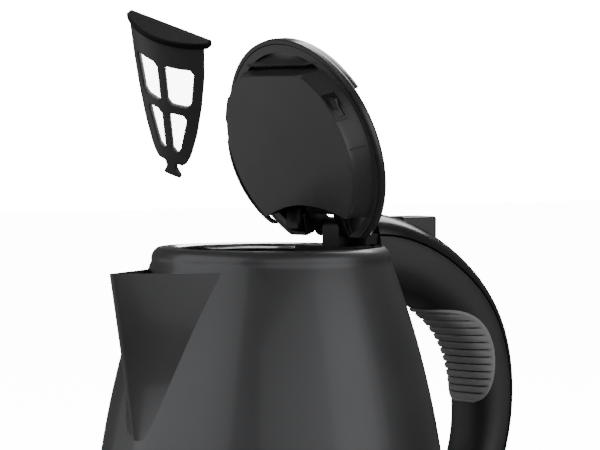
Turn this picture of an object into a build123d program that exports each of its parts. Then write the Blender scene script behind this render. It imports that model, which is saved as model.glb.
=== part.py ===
from build123d import *
import os
from math import cos, radians, sin, sqrt

# Cordless electric kettle: a steel jug with a hinged lid, on its round power base.
# Millimetres, +Z up. The origin is on the jug's axis, in the plane the base's foot stands on.
# The handle is on the +X side, the spout on the -X side, and XZ is the plane of symmetry.
# The kettle is modelled as it stands at rest: lid open, strainer lifted out of the spout.

os.makedirs("parts", exist_ok=True)

# ---------------------------------------------------------------- driving dimensions
rim_height = 184.0          # top of the jug's rolled rim
foot_radius = 80.5          # the jug wall where it leaves the skirt, its widest place
foot_height = 30.0          # height of that place
neck_radius = 53.2          # the jug wall just under the rolled rim
rim_roll = 6.0              # height of the rolled rim
steel_wall = 0.8            # jug and spout sheet
floor_height = 52.0         # underside of the water chamber's floor
spout_reach = 89.1          # axis to the spout's tip
spout_drop = 9.6            # rim down to the spout's open top
spout_depth = 72.0          # height of the spout along the jug
spout_half_width = 26.5     # half the spout's width where it meets the jug, at its top
base_height = 20.0          # power base, foot to top
base_radius = 80.0
lid_radius = 50.6
lid_open_angle = 71.0       # degrees from shut to the open stop
hinge_x = 38.5              # lid pin, from the jug's axis
hinge_rise = 8.0            # lid pin above the rim
handle_half_width = 17.0
handle_reach = 126.0        # axis to the middle of the grip
running_gap = 0.4           # between pieces that move past each other
seat_gap = 0.15             # round a piece pushed into its seat

# ---------------------------------------------------------------- shared geometry
neck_height = rim_height - rim_roll
wall_rise = neck_height - foot_height
wall_run = foot_radius - neck_radius
wall_arc = (wall_run**2 + wall_rise**2) / (2 * wall_run)


def body_radius(height):
    """Outside radius of the jug: one arc, upright at the foot, leaning in to the neck."""
    return foot_radius - wall_arc + sqrt(wall_arc**2 - (height - foot_height) ** 2)


def inner_radius(height):
    """Inside radius of the jug wall."""
    return body_radius(height) - steel_wall


def finish(builder, name):
    """Labels a finished piece and writes it under its own name."""
    builder.part.label = name
    export_step(builder.part, f"parts/{name}.step")


# ================================================================ power base
base_wall = 2.2
foot_thickness = 1.5
plate_thickness = 2.0
edge_round = 4.0            # the cover's top edge
post_radius = 4.0           # screw posts under the cover, and their pilot holes
post_bore = 1.3
screw_clearance = 1.8       # holes in the plates that the screws pass
screw_head_radius = 3.0
screw_head_height = 1.4
cover_bottom = 1.0          # the cover's edge stops short of the table
tower_radius = 16.0
tower_height = base_height + 11.0
groove_inner = 6.0
groove_outer = 13.0
gland_height = 9.5
gland_radius = 4.5
cord_bore = 3.4
screw_circle = 58.0

with BuildPart() as base_cover:
    with BuildSketch(Plane.XY.offset(cover_bottom)):
        Circle(base_radius)
    extrude(amount=base_height - cover_bottom)
    fillet(base_cover.edges().group_by(Axis.Z)[-1], edge_round)
    with BuildSketch(Plane.XY.offset(cover_bottom)):
        Circle(base_radius - base_wall)
    extrude(amount=base_height - cover_bottom - base_wall, mode=Mode.SUBTRACT)
    with BuildSketch(Plane.XY.offset(base_height)):
        Circle(tower_radius + seat_gap)
    extrude(amount=-2 * base_wall, mode=Mode.SUBTRACT)
    with BuildSketch(Plane.YZ.offset(base_radius - 2 * base_wall)):
        with Locations((0, gland_height)):
            Circle(gland_radius + seat_gap)
    extrude(amount=3 * base_wall, mode=Mode.SUBTRACT)
finish(base_cover, "base_cover")

with BuildPart() as base_plate:
    with BuildSketch(Plane.XY.offset(foot_thickness)):
        Circle(base_radius - base_wall - seat_gap)
    extrude(amount=plate_thickness)
    with BuildSketch(Plane.XY.offset(foot_thickness)):
        with PolarLocations(screw_circle, 3, start_angle=60):
            Circle(screw_clearance)
    extrude(amount=plate_thickness, mode=Mode.SUBTRACT)
    with BuildSketch(Plane.XY.offset(foot_thickness + plate_thickness)):
        with PolarLocations(screw_circle, 3, start_angle=60):
            Circle(post_radius)
            Circle(post_bore, mode=Mode.SUBTRACT)
    extrude(amount=base_height - foot_thickness - plate_thickness - base_wall)
finish(base_plate, "base_plate")

foot_inner = 62.0
foot_outer = 70.0
with BuildPart() as base_foot:
    with BuildSketch(Plane.XY):
        Circle(foot_outer)
        Circle(foot_inner, mode=Mode.SUBTRACT)
    extrude(amount=foot_thickness)
    chamfer(base_foot.edges().group_by(Axis.Z)[0], 0.4)
finish(base_foot, "base_foot")

screw_length = 12.0
with BuildPart() as base_screws:
    with BuildSketch(Plane.XY.offset(foot_thickness - screw_head_height)):
        with PolarLocations(screw_circle, 3, start_angle=60):
            Circle(screw_head_radius)
    extrude(amount=screw_head_height)
    with BuildSketch(Plane.XY.offset(foot_thickness)):
        with PolarLocations(screw_circle, 3, start_angle=60):
            Circle(post_bore - 0.05)
    extrude(amount=screw_length)
finish(base_screws, "base_screws")

tower_foot = foot_thickness + plate_thickness
socket_depth = 16.0
centre_bore = 2.6
with BuildPart() as base_socket:
    with BuildSketch(Plane.XY.offset(tower_foot)):
        Circle(tower_radius + 6)
    extrude(amount=2.5)
    with BuildSketch(Plane.XY.offset(tower_foot)):
        Circle(tower_radius)
    extrude(amount=tower_height - tower_foot)
    chamfer(base_socket.edges().group_by(Axis.Z)[-1], 1.2)
    with BuildSketch(Plane.XY.offset(tower_height)):
        Circle(groove_outer)
        Circle(groove_inner, mode=Mode.SUBTRACT)
    extrude(amount=-socket_depth, mode=Mode.SUBTRACT)
    with BuildSketch(Plane.XY.offset(tower_height)):
        Circle(centre_bore)
    extrude(amount=-socket_depth, mode=Mode.SUBTRACT)
finish(base_socket, "base_socket")

contact_sheet = 0.6
contact_drop = 3.0          # the live parts stop this far below the socket's top
with BuildPart() as base_contacts:
    with BuildSketch(Plane.XY.offset(tower_height - socket_depth)):
        Circle(groove_outer)
        Circle(groove_outer - contact_sheet, mode=Mode.SUBTRACT)
        Circle(groove_inner + contact_sheet)
        Circle(groove_inner, mode=Mode.SUBTRACT)
        Circle(centre_bore - 1.2)
    extrude(amount=socket_depth - contact_drop)
finish(base_contacts, "base_contacts")

gland_inward = 3.5
gland_outward = 2.0
gland_length = gland_inward + base_wall + gland_outward
gland_plane = Plane.YZ.offset(base_radius - base_wall - gland_inward)
with BuildPart() as cord_gland:
    with BuildSketch(gland_plane):
        with Locations((0, gland_height)):
            Circle(gland_radius + 1.4)
    extrude(amount=gland_inward - 0.5)
    with BuildSketch(gland_plane):
        with Locations((0, gland_height)):
            Circle(gland_radius)
    extrude(amount=gland_length)
    fillet(cord_gland.edges().group_by(Axis.X)[-1], 0.8)
    with BuildSketch(gland_plane):
        with Locations((0, gland_height)):
            Circle(cord_bore)
    extrude(amount=gland_length, mode=Mode.SUBTRACT)
finish(cord_gland, "cord_gland")

# ================================================================ jug: shell, spout, bottom
rim_crest_radius = 50.0
rim_lip_radius = 47.5       # inner edge of the rolled rim
rim_lip_drop = 3.0
middle_height = (foot_height + neck_height) / 2
spout_top = rim_height - spout_drop
spout_foot = spout_top - spout_depth
# the pouring window behind the spout, a blunt V
window_top = spout_top - 4.0
window_bottom = spout_foot + 18.0
window_half_top = 17.0
window_half_foot = 4.0
window_round = 2.5
with BuildPart() as jug_shell:
    with BuildSketch(Plane.XZ):
        with BuildLine():
            outer = ThreePointArc(
                (foot_radius, foot_height),
                (body_radius(middle_height), middle_height),
                (neck_radius, neck_height),
            )
            shoulder = ThreePointArc(
                (neck_radius, neck_height),
                (neck_radius - 1.0, neck_height + 4.2),
                (rim_crest_radius, rim_height),
            )
            roll = ThreePointArc(
                (rim_crest_radius, rim_height),
                (rim_lip_radius + 0.5, rim_height - 1.0),
                (rim_lip_radius, rim_height - rim_lip_drop),
            )
            lip_edge = Line(roll @ 1, (rim_lip_radius + steel_wall, rim_height - rim_lip_drop))
            roll_inside = ThreePointArc(
                lip_edge @ 1,
                (rim_crest_radius - 0.6, rim_height - 1.3),
                (rim_crest_radius + 0.3, rim_height - steel_wall),
            )
            shoulder_inside = ThreePointArc(
                roll_inside @ 1,
                (neck_radius - 1.7, neck_height + 3.7),
                (inner_radius(neck_height), neck_height),
            )
            ThreePointArc(
                shoulder_inside @ 1,
                (inner_radius(middle_height), middle_height),
                (inner_radius(foot_height), foot_height),
            )
            Line((inner_radius(foot_height), foot_height), (foot_radius, foot_height))
        make_face()
    revolve(axis=Axis.Z)
    with BuildSketch(Plane.YZ.offset(-foot_radius - 1)):
        with BuildLine():
            Polyline(
                (-window_half_top, window_top),
                (window_half_top, window_top),
                (window_half_foot, window_bottom),
                (-window_half_foot, window_bottom),
                close=True,
            )
        make_face()
        fillet(vertices(), window_round)
    extrude(amount=foot_radius, mode=Mode.SUBTRACT)
finish(jug_shell, "jug_shell")

spout_nose = 2.5
spout_foot_half = 4.0


def spout_outline(tip, root, half_width, nose_radius):
    """Level section of the spout: a triangle with a rounded nose, its root inside the jug."""
    with BuildSketch(Plane.XY, mode=Mode.PRIVATE) as section:
        with BuildLine():
            Polyline((-tip, 0), (-root, half_width), (-root, -half_width), close=True)
        make_face()
        fillet(section.vertices().sort_by(Axis.X)[0], nose_radius)
    return section.sketch


nose_foot = body_radius(spout_foot) + 0.6
spout_spread = 0.62         # how soon the spout widens above its foot: 1 is evenly
spout_levels = [0.0, 0.12, 0.3, 0.5, 0.75, 1.0]


def spout_form(inset, over):
    """The spout as a solid drawn in by inset and over tall, ruled between level sections."""
    with BuildPart(mode=Mode.PRIVATE) as form:
        for level in spout_levels:
            height = spout_foot + spout_depth * level
            tip = nose_foot + (spout_reach - nose_foot) * level
            half = spout_foot_half + (spout_half_width - spout_foot_half) * level**spout_spread
            root = sqrt(body_radius(height) ** 2 - half**2) - 1.0
            with BuildSketch(Plane.XY.offset(height + over)):
                add(spout_outline(tip - 2 * inset, root - 4 * inset, half - inset, spout_nose - inset))
        loft(ruled=True)
    return form.part


with BuildPart() as spout:
    add(spout_form(0, 0))
    add(spout_form(steel_wall, 0.01), mode=Mode.SUBTRACT)
    with BuildSketch(Plane.XZ):
        with BuildLine():
            skin = ThreePointArc(
                (foot_radius, foot_height),
                (body_radius(middle_height), middle_height),
                (neck_radius, neck_height),
            )
            Polyline(skin @ 1, (0, neck_height), (0, foot_height), skin @ 0)
        make_face()
    revolve(axis=Axis.Z, mode=Mode.SUBTRACT)
finish(spout, "spout")

skirt_bottom = base_height + running_gap
skirt_wall = 3.5
skirt_tongue = 6.0          # how far the skirt reaches up inside the jug
with BuildPart() as jug_skirt:
    with BuildSketch(Plane.XY.offset(skirt_bottom)):
        Circle(foot_radius)
    extrude(amount=foot_height - skirt_bottom)
    fillet(jug_skirt.edges().group_by(Axis.Z)[0], 1.5)
    with BuildSketch(Plane.XY.offset(foot_height)):
        Circle(inner_radius(foot_height) - seat_gap)
    extrude(amount=skirt_tongue)
    with BuildSketch(Plane.XY.offset(skirt_bottom)):
        Circle(foot_radius - skirt_wall)
    extrude(amount=foot_height + skirt_tongue - skirt_bottom, mode=Mode.SUBTRACT)
finish(jug_skirt, "jug_skirt")

connector_radius = 24.0
connector_top = floor_height - 8.0
bottom_screw_circle = 66.0
bottom_recess = 0.5
bottom_sheet = 2.2
bottom_plane = Plane.XY.offset(skirt_bottom + bottom_recess)
with BuildPart() as jug_bottom_cover:
    with BuildSketch(bottom_plane):
        Circle(foot_radius - skirt_wall - seat_gap)
        Circle(connector_radius + seat_gap, mode=Mode.SUBTRACT)
        with PolarLocations(bottom_screw_circle, 3, start_angle=60):
            Circle(screw_clearance, mode=Mode.SUBTRACT)
    extrude(amount=bottom_sheet)
finish(jug_bottom_cover, "jug_bottom_cover")

with BuildPart() as jug_bottom_screws:
    with BuildSketch(Plane.XY.offset(skirt_bottom)):
        with PolarLocations(bottom_screw_circle, 3, start_angle=60):
            Circle(screw_head_radius)
    extrude(amount=bottom_recess)
    with BuildSketch(bottom_plane):
        with PolarLocations(bottom_screw_circle, 3, start_angle=60):
            Circle(1.5)
    extrude(amount=10)
finish(jug_bottom_screws, "jug_bottom_screws")

floor_sheet = 1.0
seal_lap = 1.2              # seal above and below the floor plate
seal_inner = inner_radius(floor_height) - 4.5
floor_radius = inner_radius(floor_height) - 2.6
with BuildPart() as floor_plate:
    with BuildSketch(Plane.XY.offset(floor_height)):
        Circle(floor_radius)
    extrude(amount=floor_sheet)
finish(floor_plate, "floor_plate")

with BuildPart() as floor_seal:
    with BuildSketch(Plane.XY.offset(floor_height - seal_lap)):
        Circle(inner_radius(floor_height + 2) - 0.05)
        Circle(seal_inner, mode=Mode.SUBTRACT)
    extrude(amount=floor_sheet + 2 * seal_lap)
    with BuildSketch(Plane.XY.offset(floor_height)):
        Circle(floor_radius)
    extrude(amount=floor_sheet, mode=Mode.SUBTRACT)
finish(floor_seal, "floor_seal")

spreader_thickness = 2.5
with BuildPart() as heat_spreader:
    with BuildSketch(Plane.XY.offset(floor_height - spreader_thickness)):
        Circle(inner_radius(floor_height) - 14.0)
    extrude(amount=spreader_thickness)
finish(heat_spreader, "heat_spreader")

element_radius = 46.0
element_top = floor_height - spreader_thickness
element_height = 6.0
element_width = 7.0
with BuildPart() as heating_element:
    with BuildSketch(Plane.XZ):
        with Locations((element_radius, element_top - element_height / 2)):
            Rectangle(element_width, element_height)
        fillet(vertices().group_by(Axis.Z)[0], 2.9)
    revolve(axis=Axis.Z, revolution_arc=320)
    with BuildSketch(Plane.XY.offset(element_top - element_height)):
        with PolarLocations(element_radius, 2, start_angle=4, angular_range=312, endpoint=True):
            Circle(1.6)
    extrude(amount=-7)
finish(heating_element, "heating_element")

with BuildPart() as jug_connector:
    with BuildSketch(bottom_plane):
        Circle(connector_radius)
    extrude(amount=connector_top - skirt_bottom - bottom_recess)
    with BuildSketch(Plane.XY.offset(skirt_bottom)):
        Circle(tower_radius + 1.0)
        Circle(groove_outer - 1.6, mode=Mode.SUBTRACT)
    extrude(amount=tower_height + 1.0 - skirt_bottom, mode=Mode.SUBTRACT)
    with BuildSketch(Plane.XY.offset(skirt_bottom)):
        Circle(groove_inner + 1.6)
    extrude(amount=tower_height + 1.0 - skirt_bottom, mode=Mode.SUBTRACT)
finish(jug_connector, "jug_connector")

disc_radius = 9.4
disc_offset = 11.0
disc_thickness = 0.6
with BuildPart() as control_unit:
    with BuildSketch(Plane.XY.offset(connector_top)):
        Circle(connector_radius - 1.5)
    extrude(amount=element_top - connector_top)
    with BuildSketch(Plane.XY.offset(element_top)):
        with Locations((-disc_offset, 0), (disc_offset, 0)):
            Circle(disc_radius + 0.2)
    extrude(amount=-disc_thickness, mode=Mode.SUBTRACT)
finish(control_unit, "control_unit")

with BuildPart() as bimetal_discs:
    with BuildSketch(Plane.XY.offset(element_top - disc_thickness)):
        with Locations((-disc_offset, 0), (disc_offset, 0)):
            Circle(disc_radius)
    extrude(amount=disc_thickness)
finish(bimetal_discs, "bimetal_discs")

# ================================================================ handle
# centre line in XZ, from the rim over the grip and back to the jug's foot
lower_root = 44.0           # height of the handle's lower end
handle_start = 50.0         # the handle's open upper end, just outside the rim's crest
path_points = [
    (handle_start, rim_height - 4.0),
    (89.0, rim_height - 14.5),
    (handle_reach - 9.0, rim_height - 39.5),
    (handle_reach, rim_height - 76.0),
    (handle_reach - 8.0, rim_height - 110.0),
    (foot_radius + 15.0, lower_root + 6.0),
    (foot_radius - 6.0, lower_root),
]
# half depth and half width of the handle at each of those points
section_halves = [
    (18.5, handle_half_width),
    (16.0, handle_half_width),
    (13.2, handle_half_width - 0.5),
    (11.0, handle_half_width - 1.5),
    (10.0, handle_half_width - 2.5),
    (11.5, handle_half_width - 2.5),
    (13.0, handle_half_width - 2.0),
]
with BuildLine(Plane.XZ):
    centre_line = Spline(*path_points, tangents=[(1, 0.02), (-1, -0.25)])
stations = [centre_line.param_at_point(Vector(x, 0, z)) for x, z in path_points]


def handle_body(inset):
    """The handle's outer form drawn in by inset: rounded sections lofted along the centre line."""
    with BuildPart(mode=Mode.PRIVATE) as form:
        for station, (half_depth, half_width) in zip(stations, section_halves):
            across = Plane(
                origin=centre_line.position_at(station),
                x_dir=(0, 1, 0),
                z_dir=centre_line.tangent_at(station),
            )
            depth = 2 * (half_depth - inset)
            with BuildSketch(across):
                RectangleRounded(2 * (half_width - inset), depth, 0.42 * depth)
        loft()
    return form.part


def beside_path(share):
    """Points beside the centre line, outward by a share of the handle's half depth."""
    points = []
    for station, (half_depth, _) in zip(stations, section_halves):
        place = centre_line.position_at(station)
        ahead = centre_line.tangent_at(station)
        out = share * half_depth
        points.append((place.X - ahead.Z * out, place.Z + ahead.X * out))
    return points


handle_wall = 2.6
outer_form = handle_body(0.0)
core_form = handle_body(handle_wall)
inlay_form = handle_body(2.0)
proud_form = handle_body(-0.5)

jug_clearance = 0.2
with BuildPart() as jug_envelope:
    # the jug's outside, which the handle's ends are trimmed to
    with BuildSketch(Plane.XZ):
        with BuildLine():
            skin = ThreePointArc(
                (foot_radius + jug_clearance, foot_height),
                (body_radius(middle_height) + jug_clearance, middle_height),
                (neck_radius + jug_clearance, neck_height),
            )
            Polyline(
                skin @ 1,
                (neck_radius + jug_clearance, rim_height + 0.4),
                (0, rim_height + 0.4),
                (0, 0),
                (foot_radius + jug_clearance, 0),
                skin @ 0,
            )
        make_face()
    revolve(axis=Axis.Z)

seam_share = 0.45
with BuildPart() as cover_side:
    # everything outward of the seam between the handle and its cover strip
    with BuildSketch(Plane.XZ):
        with BuildLine():
            seam_points = beside_path(seam_share)
            seam = Spline(*seam_points)
            far = handle_reach + 60
            seam_start = ((seam @ 0).X - 5, (seam @ 0).Y)
            seam_end = ((seam @ 1).X - 20, (seam @ 1).Y)
            Polyline(
                seam @ 1,
                seam_end,
                (seam_end[0], 0),
                (far, 0),
                (far, rim_height + 60),
                (seam_start[0], rim_height + 60),
                seam_start,
                seam @ 0,
            )
        make_face()
    extrude(amount=2 * handle_half_width, both=True)

grip_centre = (handle_reach - 35.0, rim_height - 57.5)
grip_half_length = 26.5
grip_half_depth = 29.0
with BuildPart() as grip_side:
    with BuildSketch(Plane.XZ):
        with Locations(grip_centre):
            Ellipse(grip_half_depth, grip_half_length)
    extrude(amount=2 * handle_half_width, both=True)

button_front = hinge_x + 31.5
button_length = 21.5
button_half_width = 8.0
button_top = rim_height + 12.0
button_middle = button_front + button_length / 2

# the on/off lever sticks out of the handle's back, low down
switch_width = 12.0
switch_reach = 15.0
switch_inset = 5.0          # lever's pivot barrel, outward of the centre line
switch_station = 0.80
lever_slot_half = 5.0
lever_thickness = 4.0
switch_place = centre_line.position_at(switch_station)
switch_ahead = centre_line.tangent_at(switch_station)
switch_plane = Plane(
    origin=(switch_place.X, 0, switch_place.Z),
    x_dir=(-switch_ahead.Z, 0, switch_ahead.X),
    z_dir=(0, -1, 0),
)

with BuildPart() as handle_cover:
    add(outer_form & cover_side.part)
    add(core_form, mode=Mode.SUBTRACT)
    add(jug_envelope.part, mode=Mode.SUBTRACT)
    with BuildSketch(Plane.XY.offset(rim_height - 20)):
        with Locations((button_middle, 0)):
            Rectangle(button_length + 2 * running_gap, 2 * (button_half_width + running_gap))
    extrude(amount=40, mode=Mode.SUBTRACT)
    with BuildSketch(switch_plane):
        with Locations((switch_reach - 3.0, 0)):
            Rectangle(24.0, 2 * lever_slot_half)
    extrude(amount=switch_width / 2 + running_gap, both=True, mode=Mode.SUBTRACT)
finish(handle_cover, "handle_cover")

with BuildPart() as handle_shell:
    add(outer_form - cover_side.part)
    add(core_form, mode=Mode.SUBTRACT)
    add(jug_envelope.part, mode=Mode.SUBTRACT)
    add(grip_side.part - inlay_form, mode=Mode.SUBTRACT)
finish(handle_shell, "handle_shell")

with BuildPart() as handle_grip:
    add(proud_form & grip_side.part)
    add(inlay_form, mode=Mode.SUBTRACT)
    add(cover_side.part, mode=Mode.SUBTRACT)
    add(jug_envelope.part, mode=Mode.SUBTRACT)
finish(handle_grip, "handle_grip")


# ---------------------------------------------------------------- in and on the handle
with BuildPart() as steam_tube:
    # carries steam from the rim down to the switch at the handle's foot
    tube_radius = 3.0
    inside_points = []
    for station, (half_depth, _) in zip(stations[1:5], section_halves[1:5]):
        place = centre_line.position_at(station)
        ahead = centre_line.tangent_at(station)
        in_reach = half_depth - handle_wall - tube_radius - 0.5
        inside_points.append((place.X + ahead.Z * in_reach, place.Z - ahead.X * in_reach))
    with BuildLine(Plane.XZ):
        tube_line = Spline(*inside_points)
    with BuildSketch(Plane(origin=tube_line @ 0, z_dir=tube_line % 0)):
        Circle(tube_radius)
        Circle(tube_radius - 0.8, mode=Mode.SUBTRACT)
    sweep(path=tube_line)
finish(steam_tube, "steam_tube")

button_foot = rim_height - 6.0
with BuildPart() as lid_button:
    with BuildSketch(Plane.XY.offset(button_foot)):
        with Locations((button_middle, 0)):
            RectangleRounded(button_length, 2 * button_half_width, 2.0)
    extrude(amount=button_top - button_foot)
    fillet(lid_button.edges().group_by(Axis.Z)[-1], 1.2)
finish(lid_button, "lid_button")

# the spring stands on the handle's inner wall and pushes the button up
spring_seat_z = rim_height - 20.0
spring_wire = 0.45
with BuildPart() as button_spring:
    with BuildLine():
        coil = Helix(
            pitch=2.4,
            height=button_foot - spring_wire - 0.15 - spring_seat_z,
            radius=4.0,
            center=(button_middle, 0, spring_seat_z),
        )
    with BuildSketch(Plane(origin=coil @ 0, z_dir=coil % 0)):
        Circle(spring_wire)
    sweep(path=coil)
finish(button_spring, "button_spring")

with BuildPart() as power_switch:
    with BuildSketch(switch_plane):
        with Locations((switch_inset, 0)):
            Circle(0.75 * lever_thickness)
        with Locations((switch_inset + switch_reach / 2, 0)):
            Rectangle(switch_reach, lever_thickness)
    extrude(amount=switch_width / 2, both=True)
    fillet(power_switch.edges().filter_by(Axis.Y).sort_by(Axis.X)[-2:], 1.5)
finish(power_switch, "power_switch")

# ================================================================ hinge at the back of the rim
pin_radius = 1.5
pin_fit = 0.05
hinge_z = rim_height + hinge_rise
hinge_axis = Axis((hinge_x, 0, hinge_z), (0, 1, 0))
bracket_half_width = 22.0
bracket_front = hinge_x - 7.5
knuckle_half_width = 5.9
knuckle_radius = 4.4
lug_inner = knuckle_half_width + running_gap
lug_outer = lug_inner + 5.7

bracket_top = rim_height - 0.6
bridge_end = handle_start - 0.3
bridge_start = hinge_x + 4.0
with BuildPart() as hinge_bracket:
    with BuildSketch(Plane.XY.offset(rim_height - 7.0)):
        Circle(rim_lip_radius - 0.3)
        with Locations((bracket_front - 100, 0)):
            Rectangle(200, 200, mode=Mode.SUBTRACT)
        with Locations((0, bracket_half_width + 50), (0, -bracket_half_width - 50)):
            Rectangle(200, 100, mode=Mode.SUBTRACT)
    extrude(amount=bracket_top - rim_height + 7.0)
    with BuildSketch(Plane.XY.offset(rim_height - 4.0)):
        with Locations(((bridge_start + bridge_end) / 2, 0)):
            Rectangle(bridge_end - bridge_start, 2 * handle_half_width - 4.0)
    extrude(amount=9.0)
    with BuildSketch(Plane.XY.offset(rim_height - 8.0)):
        Circle(foot_radius)
        Circle(rim_lip_radius - 0.3, mode=Mode.SUBTRACT)
    extrude(amount=8.3, mode=Mode.SUBTRACT)
    with BuildSketch(Plane.XZ):
        with Locations((hinge_x, hinge_z)):
            Circle(knuckle_radius)
        with Locations((hinge_x, (hinge_z + rim_height - 1.0) / 2)):
            Rectangle(2 * knuckle_radius, hinge_rise + 1.0)
    extrude(amount=knuckle_half_width, both=True)
    with BuildSketch(Plane.XZ):
        with Locations((hinge_x, hinge_z)):
            Circle(pin_radius + pin_fit)
    extrude(amount=knuckle_half_width + 1, both=True, mode=Mode.SUBTRACT)
finish(hinge_bracket, "hinge_bracket")

with BuildPart() as hinge_pin:
    with BuildSketch(Plane.XZ):
        with Locations((hinge_x, hinge_z)):
            Circle(pin_radius)
    extrude(amount=lug_outer, both=True)
finish(hinge_pin, "hinge_pin")

# ================================================================ lid, built shut, then opened
lid_centre_x = -2.0
lid_seat = rim_height + 0.8         # underside of the lid's flange when shut
lid_axis = Axis((lid_centre_x, 0, 0), (0, 0, 1))
lid_side_height = 3.2
dome_height = 11.0
dome_wall = 2.2
crown_height = 3.0
crown_chord = 26.0                  # lid centre to the crown's straight edge
plug_depth = 9.2
plug_radius = 42.1
plug_mouth = 46.2
plug_wall = 1.5
front_chord = 36.5                  # lid centre to the plug's flat front
rear_relief = 24.5                  # lid centre to the plug's arched back
rear_relief_radius = 68.0
lid_back = hinge_x + 2.1            # straight back edge of the lid
notch_half_width = lug_outer + 1.5
notch_front = hinge_x - 9.0
flange_thickness = 1.4


def opened(builder):
    """Swings a piece of the lid from shut to its open stop."""
    builder.part = builder.part.rotate(hinge_axis, lid_open_angle)
    return builder


def dome_arc(lift, edge):
    """The dome's curve from the axis to its edge radius, raised by lift."""
    rise = dome_height - lid_side_height
    sphere = (lid_radius**2 + rise**2) / (2 * rise)

    def height(r):
        return lid_seat + dome_height + lift - sphere + sqrt(sphere**2 - r**2)

    return ThreePointArc(
        (lid_centre_x, height(0)),
        (lid_centre_x + edge / 2, height(edge / 2)),
        (lid_centre_x + edge, height(edge)),
    )


with BuildPart() as lid_shell:
    with BuildSketch(Plane.XZ):
        with BuildLine():
            top = dome_arc(0, lid_radius)
            inner_edge = lid_radius - dome_wall
            below = dome_arc(-dome_wall, inner_edge)
            Polyline(
                top @ 1,
                (lid_centre_x + lid_radius, lid_seat),
                (lid_centre_x + inner_edge, lid_seat),
                below @ 1,
            )
            Line(below @ 0, top @ 0)
        make_face()
    revolve(axis=lid_axis)
    with BuildSketch(Plane.XY.offset(lid_seat - 1)):
        with Locations((lid_back + 50, 0)):
            Rectangle(100, 200)
        with Locations((notch_front + 50, 0)):
            Rectangle(100, 2 * notch_half_width)
    extrude(amount=40, mode=Mode.SUBTRACT)
finish(opened(lid_shell), "lid_shell")

with BuildPart() as lid_crown:
    with BuildSketch(Plane.XZ):
        with BuildLine():
            crown_edge = lid_radius - 0.6
            low = dome_arc(0, crown_edge)
            high = dome_arc(crown_height, crown_edge - 1.0)
            Line(low @ 1, high @ 1)
            Line(low @ 0, high @ 0)
        make_face()
    revolve(axis=lid_axis)
    with BuildSketch(Plane.XY.offset(lid_seat)):
        with Locations((lid_centre_x - crown_chord + 100, 0)):
            Rectangle(200, 200)
    extrude(amount=40, mode=Mode.SUBTRACT)
finish(opened(lid_crown), "lid_crown")


def plug_form(inset, over):
    """The lid's plug drawn in by inset and over tall: a tapered disc, flat in front, arched behind."""
    with BuildPart(mode=Mode.PRIVATE) as form:
        with BuildSketch(Plane.XY.offset(lid_seat - plug_depth + inset)):
            with Locations((lid_centre_x, 0)):
                Circle(plug_radius - inset)
        with BuildSketch(Plane.XY.offset(lid_seat + flange_thickness + over)):
            with Locations((lid_centre_x, 0)):
                Circle(plug_mouth - inset)
        loft()
        with BuildSketch(Plane.XY.offset(lid_seat - 20)):
            with Locations((lid_centre_x - front_chord + inset - 50, 0)):
                Rectangle(100, 200)
            with Locations((lid_centre_x + rear_relief + rear_relief_radius, 0)):
                Circle(rear_relief_radius + inset)
        extrude(amount=40, mode=Mode.SUBTRACT)
    return form.part


bolt_x = lid_centre_x - 21.0
bolt_width = 7.0
bolt_top = lid_seat - 5.0
bolt_bottom = lid_seat - 7.4
bolt_travel = 3.5
# drawn in, the bolt's tip clears the rolled rim; let out, it reaches under it
bolt_tip = sqrt((rim_lip_radius - 0.5) ** 2 - (bolt_width / 2 - bolt_x) ** 2)
bolt_length = 13.5
with BuildPart() as lid_cup:
    add(plug_form(0, 0))
    add(plug_form(plug_wall, 0.01), mode=Mode.SUBTRACT)
    with BuildSketch(Plane.XY.offset(lid_seat)):
        with Locations((lid_centre_x, 0)):
            Circle(lid_radius - dome_wall - seat_gap)
            Circle(plug_mouth - 1.0, mode=Mode.SUBTRACT)
        with Locations((lid_back - 1 + 50, 0)):
            Rectangle(100, 200, mode=Mode.SUBTRACT)
        with Locations((notch_front + 50, 0)):
            Rectangle(100, 2 * notch_half_width, mode=Mode.SUBTRACT)
    extrude(amount=flange_thickness)
    with BuildSketch(Plane.XY.offset(bolt_bottom - running_gap)):
        with Locations((bolt_x, 0)):
            Rectangle(bolt_width + 2 * running_gap, 2 * (bolt_tip + bolt_travel + 1.0))
        with Locations((bolt_x, 0)):
            Rectangle(bolt_width + 2 * running_gap, 2 * (bolt_tip - bolt_length), mode=Mode.SUBTRACT)
    extrude(amount=bolt_top - bolt_bottom + 2 * running_gap, mode=Mode.SUBTRACT)
finish(opened(lid_cup), "lid_cup")

arm_sheet = 1.6
arm_height = 4.4
with BuildPart() as lid_hinge_arms:
    with BuildSketch(Plane.XY.offset(lid_seat + flange_thickness)):
        with Locations((hinge_x - 17.5, 0)):
            Rectangle(19.0, 2 * lug_outer)
    extrude(amount=arm_sheet)
    for side in (1, -1):
        with BuildSketch(Plane.XZ.offset(side * (lug_inner + lug_outer) / 2)):
            with BuildLine():
                Polyline(
                    (hinge_x - 26.0, lid_seat + flange_thickness),
                    (hinge_x - 6.0, lid_seat + flange_thickness),
                    (hinge_x + 2.5, hinge_z - 3.6),
                    (hinge_x, hinge_z + arm_height),
                    (hinge_x - 10.0, lid_seat + arm_height),
                    (hinge_x - 18.0, lid_seat + arm_height),
                    close=True,
                )
            make_face()
            with Locations((hinge_x, hinge_z)):
                Circle(knuckle_radius)
                Circle(pin_radius + pin_fit, mode=Mode.SUBTRACT)
        extrude(amount=(lug_outer - lug_inner) / 2, both=True)
finish(opened(lid_hinge_arms), "lid_hinge_arms")

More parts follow.
